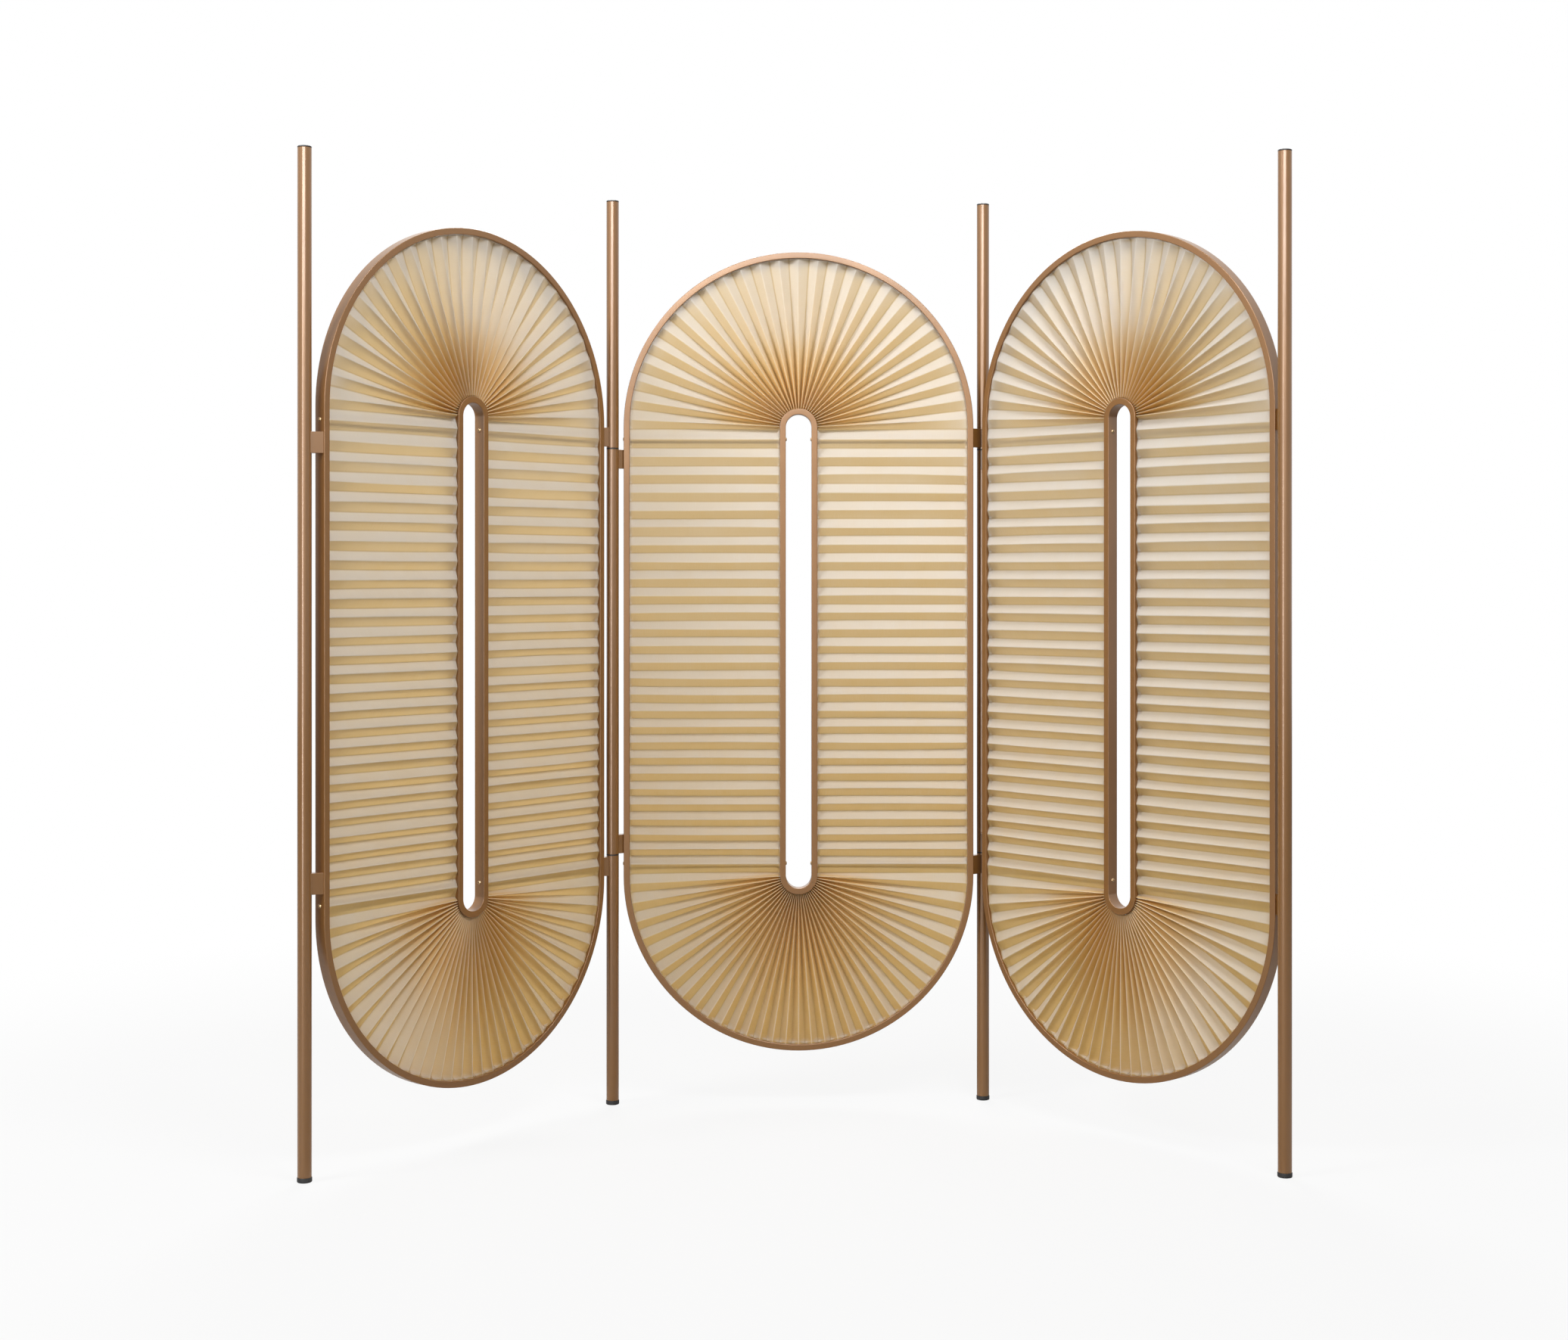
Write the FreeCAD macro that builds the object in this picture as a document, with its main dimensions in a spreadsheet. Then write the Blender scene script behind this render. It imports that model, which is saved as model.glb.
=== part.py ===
import FreeCAD, Part
import math
import os
import re
import Sketcher

# Three-panel folding screen. X runs along the centre panel, Y away from the viewer and Z up.
# The origin lies on the floor, midway across and midway deep under the part-folded screen.
# Every panel is modelled about its own centre and then turned about its hinge post.

# Driving sizes in millimetres, angles in degrees, counts and shares as plain numbers
SIZES = {
    "post_height": 1825,
    "panel_width": 708,
    "panel_straight": 908,
    "panel_centre_height": 914,
    "frame_depth": 26,
    "frame_band": 12,
    "frame_chamfer": 0.8,
    "slot_radius": 26,
    "left_fold_angle": 50.3,
    "right_fold_angle": 48.2,
    "post_gap": 22,
    "axis_overhang": 1.5,
    "tube_diameter": 25,
    "tube_wall": 1.5,
    "cap_thickness": 3,
    "cap_bevel": 1,
    "cap_spigot": 12,
    "foot_height": 8.5,
    "foot_diameter": 26.5,
    "foot_bevel": 1.5,
    "foot_spigot": 16,
    "press_clearance": 0.02,
    "joint_setback": 44,
    "washer_thickness": 2.3,
    "washer_play": 0.1,
    "washer_reveal": 0.4,
    "pin_diameter": 10,
    "pin_reach": 34,
    "running_clearance": 0.05,
    "bush_length": 32,
    "bracket_thickness": 16,
    "bracket_height": 38,
    "bracket_joint_gap": 4,
    "rod_setback": 24,
    "rod_diameter": 6,
    "rod_wall": 1,
    "screw_clearance": 0.1,
    "screw_grip": 9,
    "screw_head_diameter": 8,
    "screw_head_height": 2.2,
    "screw_head_bevel": 0.9,
    "screw_socket_width": 3,
    "screw_socket_depth": 1.3,
    "fabric_clearance": 0.3,
    "fabric_thickness": 1.6,
    "pleat_depth": 5,
    "pleat_setback": 2.5,
    "pleat_pitch_top": 40,
    "pleat_pitch_side": 33,
    "pleat_pitch_bottom": 33,
    "cut_overrun": 5,
    "pleat_sag_share": 0.1,
    "pleat_gather_share": 0.2,
    "pleat_middle_share": 0.5,
}

document = FreeCAD.newDocument("FoldingScreen")
sheet = document.addObject("Spreadsheet::Sheet", "Sizes")
for row, (alias, value) in enumerate(SIZES.items(), 1):
    sheet.set("A%d" % row, alias)
    sheet.set("B%d" % row, str(value))
    sheet.setAlias("B%d" % row, alias)
document.recompute()


def formula(text):
    """Prefix each named size in a formula with the name of the sheet."""
    return re.sub(r"[a-z]+(?:_[a-z]+)*",
                  lambda word: "Sizes." + word.group() if word.group() in SIZES else word.group(),
                  text)


def bind(thing, **formulas):
    """Bind properties of a document object to formulas in the named sizes."""
    for name, text in formulas.items():
        thing.setExpression(name, formula(text))
    return thing


def move(thing, x="0", y="0", z="0", turn="0", axis=(0, 0, 1)):
    """Place a document object by formulas, turned about one fixed axis."""
    thing.Placement = FreeCAD.Placement(FreeCAD.Vector(0, 0, 0),
                                        FreeCAD.Rotation(FreeCAD.Vector(*axis), 1))
    for path, text in (("Base.x", x), ("Base.y", y), ("Base.z", z), ("Rotation.Angle", turn)):
        thing.setExpression(".Placement." + path, formula(text))
    return thing


# Shared formulas
hinge_x = "(panel_width / 2 + post_gap)"
hinge_y = "(frame_depth / 2 + axis_overhang)"
slot_frame_radius = "(slot_radius + frame_band)"
panel_inner_radius = "(panel_width / 2 - frame_band)"
tube_bore = "(tube_diameter / 2 - tube_wall)"
plug_radius = "(%s - press_clearance)" % tube_bore
half_washer_gap = "(washer_thickness / 2 + washer_play / 2)"
screw_radius = "(rod_diameter / 2 - rod_wall)"
rod_height = "(panel_straight / 2 - rod_setback)"
joint_height = "(panel_straight / 2 - joint_setback)"


class Panel:
    """One panel: its name, its fold and on which face its left post's axis lies."""

    def __init__(self, name, side, fold, left_axis_is_in_front):
        self.name = name
        self.hand = 1 if left_axis_is_in_front else -1
        self.side = side
        self.turn = "(%d * %s)" % (-side, fold)

    def hinge_to(self, share):
        """Offset from this panel's hinge axis towards its far post, in shares of the panel."""
        along = "(%d * %d * %s)" % (share, self.side, hinge_x)
        across = "(%d * %d * %s)" % (share, -self.side, hinge_y)
        x = "(%s * cos(%s) - %s * sin(%s))" % (along, self.turn, across, self.turn)
        y = "(%s * sin(%s) + %s * cos(%s))" % (along, self.turn, across, self.turn)
        return x, y

    def from_centre_panel(self, share):
        """Place reached from the centre panel's middle across the hinge by a count of halves."""
        x, y = self.hinge_to(share)
        return ("(%d * %s + %s)" % (self.side, hinge_x, x),
                "(%d * %s + %s)" % (self.side, hinge_y, y))

    def post_axis(self, side):
        """Place of the post's axis on one side, measured from the panel's own centre."""
        return "(%d * %s)" % (side, hinge_x), "(%d * %s)" % (side * self.hand, hinge_y)


left_panel = Panel("left", -1, "left_fold_angle", False)
centre_panel = Panel("centre", 0, "0", True)
right_panel = Panel("right", 1, "right_fold_angle", False)
panels = (left_panel, centre_panel, right_panel)
LEFT, RIGHT = -1, 1

# The screen's middle, from the axes of its two end posts and of its rearmost post
left_end_x, left_end_y = left_panel.from_centre_panel(2)
right_end_x, right_end_y = right_panel.from_centre_panel(2)
screen_middle_x = "((%s + %s) / 2)" % (left_end_x, right_end_x)
screen_middle_y = "((min(%s; %s) + %s) / 2)" % (left_end_y, right_end_y, hinge_y)

sub_parts = []


def finish(thing, label, panel):
    """Label a sub-part and set it where its panel stands."""
    thing.Label = label
    x, y = ("0", "0") if panel.side == 0 else panel.from_centre_panel(1)
    move(thing, "%s - %s" % (x, screen_middle_x), "%s - %s" % (y, screen_middle_y),
         "panel_centre_height", panel.turn)
    sub_parts.append(thing)
    return thing


def cylinder(radius, height, **place):
    """Solid cylinder sized and placed by formulas."""
    return move(bind(document.addObject("Part::Cylinder", "Round"), Radius=radius, Height=height),
                **place)


def cone(lower, upper, height, **place):
    """Solid cone sized and placed by formulas."""
    thing = document.addObject("Part::Cone", "Bevel")
    return move(bind(thing, Radius1=lower, Radius2=upper, Height=height), **place)


def box(length, width, height, **place):
    """Solid box sized and placed by formulas."""
    thing = document.addObject("Part::Box", "Block")
    return move(bind(thing, Length=length, Width=width, Height=height), **place)


def cut(base, tool):
    """Base with the tool cut out of it."""
    thing = document.addObject("Part::Cut", "Cut")
    thing.Base = base
    thing.Tool = tool
    return thing


def common(base, tool):
    """What base and tool share."""
    thing = document.addObject("Part::Common", "Common")
    thing.Base = base
    thing.Tool = tool
    return thing


def fuse(*pieces):
    """Pieces joined into one solid."""
    thing = document.addObject("Part::MultiFuse", "Fuse")
    thing.Shapes = list(pieces)
    return thing


def group(*pieces):
    """Separate solids kept together in one node."""
    thing = document.addObject("Part::Compound", "Group")
    thing.Links = list(pieces)
    return thing


# Stadium rings: the outer frame and the slot frame of each panel

def origin_plane(body, role):
    """One of a body's own origin planes."""
    return [plane for plane in body.Origin.OriginFeatures if plane.Role == role][0]


def new_sketch(body, name, role):
    """Sketch on one of a body's origin planes."""
    sketch = body.newObject("Sketcher::SketchObject", name)
    sketch.AttachmentSupport = [(origin_plane(body, role), "")]
    sketch.MapMode = "FlatFace"
    return sketch


def measured(sketch, name, constraint, text):
    """Named constraint of a sketch, bound to a formula."""
    number = sketch.addConstraint(constraint)
    sketch.renameConstraint(number, name)
    sketch.setExpression("Constraints." + name, formula(text))


def draw_stadium(sketch, name, start_radius, start_run, radius):
    """Two half circles joined by two straight sides, centred on the sketch's origin."""
    normal = FreeCAD.Vector(0, 0, 1)
    half = start_run / 2
    top = sketch.addGeometry(Part.ArcOfCircle(
        Part.Circle(FreeCAD.Vector(0, half, 0), normal, start_radius), 0, math.pi), False)
    left = sketch.addGeometry(Part.LineSegment(
        FreeCAD.Vector(-start_radius, half, 0), FreeCAD.Vector(-start_radius, -half, 0)), False)
    bottom = sketch.addGeometry(Part.ArcOfCircle(
        Part.Circle(FreeCAD.Vector(0, -half, 0), normal, start_radius), math.pi, 2 * math.pi), False)
    right = sketch.addGeometry(Part.LineSegment(
        FreeCAD.Vector(start_radius, -half, 0), FreeCAD.Vector(start_radius, half, 0)), False)
    for first, second in ((top, left), (left, bottom), (bottom, right), (right, top)):
        sketch.addConstraint(Sketcher.Constraint("Tangent", first, 2, second, 1))
    for arc in (top, bottom):
        sketch.addConstraint(Sketcher.Constraint("PointOnObject", arc, 3, -2))
    sketch.addConstraint(Sketcher.Constraint("Equal", top, bottom))
    measured(sketch, name + "_radius", Sketcher.Constraint("Radius", top, start_radius), radius)
    measured(sketch, name + "_top", Sketcher.Constraint("DistanceY", -1, 1, top, 3, half),
             "panel_straight / 2")
    measured(sketch, name + "_bottom", Sketcher.Constraint("DistanceY", bottom, 3, -1, 1, half),
             "panel_straight / 2")


def stadium_ring(panel, name, outer_radius, inner_radius, outer_start, inner_start):
    """Flat bar bent into a closed stadium, with its rod screws' holes through both sides."""
    body = document.addObject("PartDesign::Body", name)
    outline = new_sketch(body, name + "_outline", "XZ_Plane")
    run = sheet.get("panel_straight")
    draw_stadium(outline, "outer", outer_start, run, outer_radius)
    draw_stadium(outline, "inner", inner_start, run, inner_radius)
    pad = body.newObject("PartDesign::Pad", name + "_bar")
    pad.Profile = outline
    pad.SideType = "Symmetric"
    bind(pad, Length="frame_depth")
    document.recompute()
    faces = ["Face%d" % number for number, face in enumerate(pad.Shape.Faces, 1)
             if abs(face.normalAt(0, 0).y) > 0.9]
    chamfer = body.newObject("PartDesign::Chamfer", name + "_edges")
    chamfer.Base = (pad, faces)
    bind(chamfer, Size="frame_chamfer")
    document.recompute()
    holes = new_sketch(body, name + "_screw_holes", "YZ_Plane")
    for word, sign in (("upper", 1), ("lower", -1)):
        height = sheet.get("panel_straight") / 2 - sheet.get("rod_setback")
        radius = sheet.get("rod_diameter") / 2 - sheet.get("rod_wall")
        hole = holes.addGeometry(Part.Circle(FreeCAD.Vector(0, sign * height, 0),
                                             FreeCAD.Vector(0, 0, 1), radius), False)
        holes.addConstraint(Sketcher.Constraint("PointOnObject", hole, 3, -2))
        measured(holes, word + "_radius", Sketcher.Constraint("Radius", hole, radius),
                 screw_radius + " + screw_clearance")
        ends = (-1, 1, hole, 3) if sign > 0 else (hole, 3, -1, 1)
        measured(holes, word + "_height", Sketcher.Constraint("DistanceY", *ends, height),
                 rod_height)
    pocket = body.newObject("PartDesign::Pocket", name + "_screw_bores")
    pocket.Profile = holes
    pocket.Type = "ThroughAll"
    pocket.SideType = "Symmetric"
    body.Tip = pocket
    return finish(body, name, panel)


for panel in panels:
    outer_start = sheet.get("panel_width") / 2
    slot_start = sheet.get("slot_radius")
    band = sheet.get("frame_band")
    stadium_ring(panel, panel.name + "_outer_frame", "panel_width / 2", panel_inner_radius,
                 outer_start, outer_start - band)
    stadium_ring(panel, panel.name + "_slot_frame", slot_frame_radius, "slot_radius",
                 slot_start + band, slot_start)


# Spreader rods: four tubes between the two frames, behind a front fold of the cloth

def spreader_rod(side, level):
    """Tube from the slot frame's outer wall to the outer frame's inner wall."""
    x = slot_frame_radius if side > 0 else "-" + panel_inner_radius
    length = "%s - %s" % (panel_inner_radius, slot_frame_radius)
    place = {"z": "%d * %s" % (level, rod_height), "axis": (0, 1, 0), "turn": "90"}
    rod = cylinder("rod_diameter / 2", length, x=x, **place)
    bore = cylinder(screw_radius, length + " + 2 * cut_overrun", x=x + " - cut_overrun", **place)
    return cut(rod, bore)


def screw(side, level, outside):
    """Domed socket screw through a frame's side into the end of a rod.

    Under a post bracket, on the right-hand side of the outer frame, it has no head.
    """
    if outside:
        seat, inward = "(%d * panel_width / 2)" % side, -side
    else:
        seat, inward = "(%d * slot_radius)" % side, side
    turn = {"axis": (0, 1, 0), "turn": "%d" % (90 * inward), "z": "%d * %s" % (level, rod_height)}
    shank = cylinder(screw_radius + " - press_clearance", "frame_band + screw_grip", x=seat, **turn)
    if outside and side == RIGHT:
        return shank
    turn["turn"] = "%d" % (-90 * inward)
    straight = "(screw_head_height - screw_head_bevel)"
    head = cylinder("screw_head_diameter / 2", straight, x=seat, **turn)
    crown_x = "%s - %d * %s" % (seat, inward, straight)
    crown = cone("screw_head_diameter / 2", "screw_head_diameter / 2 - screw_head_bevel",
                 "screw_head_bevel", x=crown_x, **turn)
    socket = document.addObject("Part::Prism", "Socket")
    socket.Polygon = 6
    bind(socket, Circumradius="screw_socket_width / sqrt(3)",
         Height="screw_socket_depth + cut_overrun")
    move(socket, x="%s - %d * (screw_head_height - screw_socket_depth)" % (seat, inward), **turn)
    return cut(fuse(shank, head, crown), socket)


for panel in panels:
    corners = [(side, level) for side in (LEFT, RIGHT) for level in (-1, 1)]
    finish(group(*[spreader_rod(side, level) for side, level in corners]),
           panel.name + "_spreader_rods", panel)
    finish(group(*[screw(side, level, outside) for side, level in corners
                   for outside in (False, True)]),
           panel.name + "_rod_screws", panel)


# Pleated cloth: one closed ring of folds between the two frames
# A fold lies in front of each rod. The slant from fold to fold is the same length everywhere,
# so the folds stand deeper where they crowd together round the slot.

class Pleats:
    """Fold lines of the cloth, worked out about the panel's centre."""

    def __init__(self):
        self.half_run = sheet.get("panel_straight") / 2
        self.rod = self.half_run - sheet.get("rod_setback")
        self.outer = (sheet.get("panel_width") / 2 - sheet.get("frame_band")
                      - sheet.get("fabric_clearance"))
        self.inner = (sheet.get("slot_radius") + sheet.get("frame_band")
                      + sheet.get("fabric_clearance"))
        self.middle = self.inner + (self.outer - self.inner) * sheet.get("pleat_middle_share")
        self.folds = self.fold_places()
        radius = self.outer
        widest = max(self.half_pitch(number, radius) for number in range(len(self.folds)))
        self.slant = math.hypot(widest, sheet.get("pleat_depth"))
        self.front = (sheet.get("fabric_thickness") / 2 + sheet.get("pleat_setback")
                      - sheet.get("frame_depth") / 2)

    def fold_places(self):
        """Lengths along the cloth's outer edge, from the upper right rod round over the top."""
        end_run = self.half_run - self.rod
        over = 2 * end_run + math.pi * self.outer
        along = 2 * self.rod
        sag = sheet.get("pleat_sag_share")
        gather = sheet.get("pleat_gather_share")
        stretches = (
            (over, "pleat_pitch_top", lambda q: q),
            (along, "pleat_pitch_side", lambda q: q + sag * q * (1 - q)),
            (over, "pleat_pitch_bottom",
             lambda q: q + gather * math.sin(2 * math.pi * q) / (2 * math.pi)),
            (along, "pleat_pitch_side", lambda q: q - sag * q * (1 - q)),
        )
        places = []
        start = 0
        for length, pitch, spread in stretches:
            halves = 2 * round(length / sheet.get(pitch))
            places += [start + length * spread(half / halves) for half in range(halves)]
            start += length
        return places

    def station(self, place):
        """Height of the line's foot and its direction from it, at a place along the edge."""
        end_run = self.half_run - self.rod
        arc = math.pi * self.outer
        if place <= end_run:
            return self.rod + place, 1, 0
        place -= end_run
        if place <= arc:
            angle = place / self.outer
            return self.half_run, math.cos(angle), math.sin(angle)
        place -= arc
        if place <= 2 * self.half_run:
            return self.half_run - place, -1, 0
        place -= 2 * self.half_run
        if place <= arc:
            angle = math.pi + place / self.outer
            return -self.half_run, math.cos(angle), math.sin(angle)
        return -self.half_run + place - arc, 1, 0

    def spot(self, number, radius):
        """Point of a fold line, seen from the front, at a radius from the slot's middle line."""
        foot, across, up = self.station(self.folds[number % len(self.folds)])
        return radius * across, foot + radius * up

    def half_pitch(self, number, radius):
        """Half the distance between the folds on either side."""
        x1, z1 = self.spot(number - 1, radius)
        x2, z2 = self.spot(number + 1, radius)
        return math.hypot(x2 - x1, z2 - z1) / 2

    def point(self, number, radius, offset):
        """Point of a fold line, just behind the frames' faces for even folds, deeper for odd ones."""
        x, z = self.spot(number, radius)
        depth = 0
        if number % 2:
            depth = math.sqrt(self.slant ** 2 - self.half_pitch(number, radius) ** 2)
        return FreeCAD.Vector(x, self.front + depth + offset, z)

    def solid(self):
        """Closed sheet of flat facets, as thick in the panel's depth everywhere."""
        radii = (self.outer, self.middle, self.inner)
        half = sheet.get("fabric_thickness") / 2
        count = len(self.folds)
        table = {offset: [[self.point(number, radius, offset) for radius in radii]
                          for number in range(count)] for offset in (-half, half)}
        faces = []
        for number in range(count):
            following = (number + 1) % count
            for rows in table.values():
                for ring in range(len(radii) - 1):
                    a, b = rows[number][ring], rows[following][ring]
                    c, d = rows[following][ring + 1], rows[number][ring + 1]
                    faces.append(Part.Face(Part.makePolygon([a, b, c, a])))
                    faces.append(Part.Face(Part.makePolygon([a, c, d, a])))
            front, rear = table[-half], table[half]
            for ring in (0, -1):
                corners = [front[number][ring], front[following][ring],
                           rear[following][ring], rear[number][ring]]
                faces.append(Part.Face(Part.makePolygon(corners + corners[:1])))
        shell = Part.Compound(faces)
        shell.sewShape()
        solid = Part.makeSolid(shell.Shells[0])
        if solid.Volume < 0:
            solid.reverse()
        return solid


pleats = Pleats()
cloth = pleats.solid()
for panel in panels:
    fabric = document.addObject("Part::Feature", panel.name + "_pleated_fabric")
    fabric.Shape = cloth
    finish(fabric, panel.name + "_pleated_fabric", panel)


# Posts: tubes, caps and feet, with heights measured from the panel's centre

floor = "(-panel_centre_height)"
tube_top = "(post_height - cap_thickness - panel_centre_height)"
tube_bottom = "(foot_height - panel_centre_height)"


def tube(panel, side, bottom, top):
    """Round tube on a post's axis between two heights."""
    x, y = panel.post_axis(side)
    outside = cylinder("tube_diameter / 2", "%s - %s" % (top, bottom), x=x, y=y, z=bottom)
    bore = cylinder(tube_bore, "%s - %s + 2 * cut_overrun" % (top, bottom), x=x, y=y,
                    z=bottom + " - cut_overrun")
    return cut(outside, bore)


def cap(panel, side):
    """Thin bevelled cap on a post's top, with a spigot in the tube."""
    x, y = panel.post_axis(side)
    rim = cylinder("tube_diameter / 2", "cap_thickness - cap_bevel", x=x, y=y, z=tube_top)
    bevel = cone("tube_diameter / 2", "tube_diameter / 2 - cap_bevel", "cap_bevel", x=x, y=y,
                 z=tube_top + " + cap_thickness - cap_bevel")
    spigot = cylinder(plug_radius, "cap_spigot", x=x, y=y, z=tube_top + " - cap_spigot")
    return fuse(rim, bevel, spigot)


def foot(panel, side):
    """Foot under a post, bevelled at the floor, with a spigot in the tube."""
    x, y = panel.post_axis(side)
    bevel = cone("foot_diameter / 2 - foot_bevel", "foot_diameter / 2", "foot_bevel", x=x, y=y,
                 z=floor)
    rim = cylinder("foot_diameter / 2", "foot_height - foot_bevel", x=x, y=y,
                   z=floor + " + foot_bevel")
    spigot = cylinder(plug_radius, "foot_spigot", x=x, y=y, z=tube_bottom)
    return fuse(bevel, rim, spigot)


finish(tube(left_panel, LEFT, tube_bottom, tube_top), "left_end_post_tube", left_panel)
finish(tube(right_panel, RIGHT, tube_bottom, tube_top), "right_end_post_tube", right_panel)
posts_of_panel = (
    (left_panel, (LEFT, RIGHT), "left_post"),
    (centre_panel, (RIGHT,), "centre_post"),
    (right_panel, (RIGHT,), "right_post"),
)
for panel, sides, label in posts_of_panel:
    finish(group(*[cap(panel, side) for side in sides]), label + "_caps", panel)
    finish(group(*[foot(panel, side) for side in sides]), label + "_feet", panel)


# Hinge posts: the upper and lower tubes turn with the panel on their left,
# the middle tube with the panel on their right

class Hinge:
    """Hinge post between two panels."""

    def __init__(self, name, outer_panel, middle_panel):
        self.name = name
        self.outer = outer_panel
        self.middle = middle_panel

    def middle_plug(self, level, radius, bore, reach):
        """Ring in the middle tube's end."""
        x, y = self.middle.post_axis(LEFT)
        start = "(%s - %s)" % (joint_height, half_washer_gap)
        z = "%s - %s" % (start, reach) if level > 0 else "-" + start
        hole = cylinder(bore, reach + " + 2 * cut_overrun", x=x, y=y, z=z + " - cut_overrun")
        return cut(cylinder(radius, reach, x=x, y=y, z=z), hole)

    def pin(self, level):
        """Hinge pin, fixed in the middle tube and reaching into its neighbour."""
        x, y = self.middle.post_axis(LEFT)
        return cylinder("pin_diameter / 2", "2 * pin_reach", x=x, y=y,
                        z="%d * %s - pin_reach" % (level, joint_height))

    def bush(self, level):
        """Bush in the end of the upper or lower tube, turning on the pin."""
        x, y = self.outer.post_axis(RIGHT)
        start = "(%s + %s)" % (joint_height, half_washer_gap)
        z = start if level > 0 else "-%s - bush_length" % start
        ring = cylinder(plug_radius, "bush_length", x=x, y=y, z=z)
        return cut(ring, cylinder("pin_diameter / 2 + running_clearance",
                                  "bush_length + 2 * cut_overrun", x=x, y=y,
                                  z=z + " - cut_overrun"))

    def washer(self, level):
        """Black washer on the pin, resting on the middle tube's end."""
        x, y = self.middle.post_axis(LEFT)
        start = "(%s - %s)" % (joint_height, half_washer_gap)
        z = start if level > 0 else "-%s - washer_thickness" % start
        ring = cylinder("tube_diameter / 2 - washer_reveal", "washer_thickness", x=x, y=y, z=z)
        return cut(ring, cylinder("pin_diameter / 2 + press_clearance",
                                  "washer_thickness + 2 * cut_overrun", x=x, y=y,
                                  z=z + " - cut_overrun"))

    def build(self):
        """Tubes, pins, bushes, sockets and washers of the post."""
        above = "(%s + %s)" % (joint_height, half_washer_gap)
        below = "(%s - %s)" % (joint_height, half_washer_gap)
        finish(tube(self.outer, RIGHT, above, tube_top), self.name + "_upper_tube", self.outer)
        finish(tube(self.outer, RIGHT, tube_bottom, "(-%s)" % above), self.name + "_lower_tube",
               self.outer)
        finish(tube(self.middle, LEFT, "(-%s)" % below, below), self.name + "_middle_tube",
               self.middle)
        levels = (-1, 1)
        sockets = [self.middle_plug(level, plug_radius, "pin_diameter / 2 + press_clearance",
                                    "bush_length") for level in levels]
        finish(group(*sockets), self.name + "_pin_sockets", self.middle)
        finish(group(*[self.pin(level) for level in levels]), self.name + "_pins", self.middle)
        finish(group(*[self.washer(level) for level in levels]), self.name + "_washers",
               self.middle)
        finish(group(*[self.bush(level) for level in levels]), self.name + "_bushes", self.outer)


for hinge in (Hinge("left_hinge", left_panel, centre_panel),
              Hinge("right_hinge", centre_panel, right_panel)):
    hinge.build()


# Brackets: blocks from a post's tube to the middle of the frame's side
# On a panel's left side they lie just inside the hinge joints, on its right side just outside.

def bracket(panel, side, level):
    """Block aimed at the post's axis, cut off flush with the frame's side."""
    x, y = panel.post_axis(side)
    heading = "atan2(%d * %s; %d * post_gap)" % (-side * panel.hand, hinge_y, -side)
    if side == LEFT:
        near = "(%s - bracket_joint_gap / 2 - bracket_height)" % joint_height
    else:
        near = "(%s + bracket_joint_gap)" % joint_height
    bottom = near if level > 0 else "(-%s - bracket_height)" % near
    reach = "(sqrt(post_gap * post_gap + {0} * {0}) + bracket_thickness)".format(hinge_y)
    block = box(reach, "bracket_thickness", "bracket_height", z=bottom, turn=heading,
                x="%s + bracket_thickness / 2 * sin(%s)" % (x, heading),
                y="%s - bracket_thickness / 2 * cos(%s)" % (y, heading))
    room_x = "panel_width / 2" if side == RIGHT else "-" + hinge_x
    room = box("post_gap", "2 * frame_depth + 2 * " + hinge_y, "bracket_height", z=bottom,
               x=room_x, y="-frame_depth - " + hinge_y)
    post = cylinder("tube_diameter / 2", "bracket_height", x=x, y=y, z=bottom)
    return cut(common(block, room), post)


bracket_sets = (
    (left_panel, LEFT, "left_end_brackets"),
    (left_panel, RIGHT, "left_hinge_outer_brackets"),
    (centre_panel, LEFT, "left_hinge_inner_brackets"),
    (centre_panel, RIGHT, "right_hinge_outer_brackets"),
    (right_panel, LEFT, "right_hinge_inner_brackets"),
    (right_panel, RIGHT, "right_end_brackets"),
)
for panel, side, label in bracket_sets:
    finish(group(*[bracket(panel, side, level) for level in (-1, 1)]), label, panel)


# Checks and files

document.recompute()
for thing in document.Objects:
    if "Invalid" in thing.State or "Error" in thing.State:
        raise RuntimeError("%s did not build" % thing.Label)
for thing in sub_parts:
    if thing.Shape.isNull() or not thing.Shape.isValid() or not thing.Shape.Solids:
        raise RuntimeError("%s is not a valid solid" % thing.Label)

os.makedirs("parts", exist_ok=True)
for thing in sub_parts:
    thing.Shape.exportStep("parts/%s.step" % thing.Label)

counts = [len(thing.Shape.Solids) for thing in sub_parts]
print("%d nodes, %d solids, %d folds" % (len(sub_parts), sum(counts), len(pleats.folds)))
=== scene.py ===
"""Folding screen with bronze-gold frames, slim posts and pleated cloth."""
import logging
import math
import random
from dataclasses import dataclass, field
from enum import Enum
from typing import Callable, Iterable, Sequence

import bmesh
import bpy
from mathutils import Matrix, Vector

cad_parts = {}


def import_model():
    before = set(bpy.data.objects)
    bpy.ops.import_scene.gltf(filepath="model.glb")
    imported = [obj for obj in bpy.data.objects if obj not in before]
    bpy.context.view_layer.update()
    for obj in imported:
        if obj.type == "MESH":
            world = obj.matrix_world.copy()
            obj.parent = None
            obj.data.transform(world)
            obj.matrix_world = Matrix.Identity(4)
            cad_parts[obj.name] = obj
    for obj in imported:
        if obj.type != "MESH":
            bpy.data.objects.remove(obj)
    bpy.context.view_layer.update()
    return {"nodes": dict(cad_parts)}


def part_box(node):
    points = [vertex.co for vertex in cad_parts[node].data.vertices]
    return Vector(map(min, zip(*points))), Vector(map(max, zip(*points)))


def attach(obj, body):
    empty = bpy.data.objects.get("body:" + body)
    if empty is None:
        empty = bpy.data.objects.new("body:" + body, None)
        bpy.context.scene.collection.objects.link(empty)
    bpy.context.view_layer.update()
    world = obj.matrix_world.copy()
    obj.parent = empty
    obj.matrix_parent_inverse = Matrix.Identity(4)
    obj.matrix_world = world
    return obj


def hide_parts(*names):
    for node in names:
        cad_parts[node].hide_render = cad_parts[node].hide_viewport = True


log = logging.getLogger("folding_screen")

Colour = tuple[float, float, float]

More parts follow.
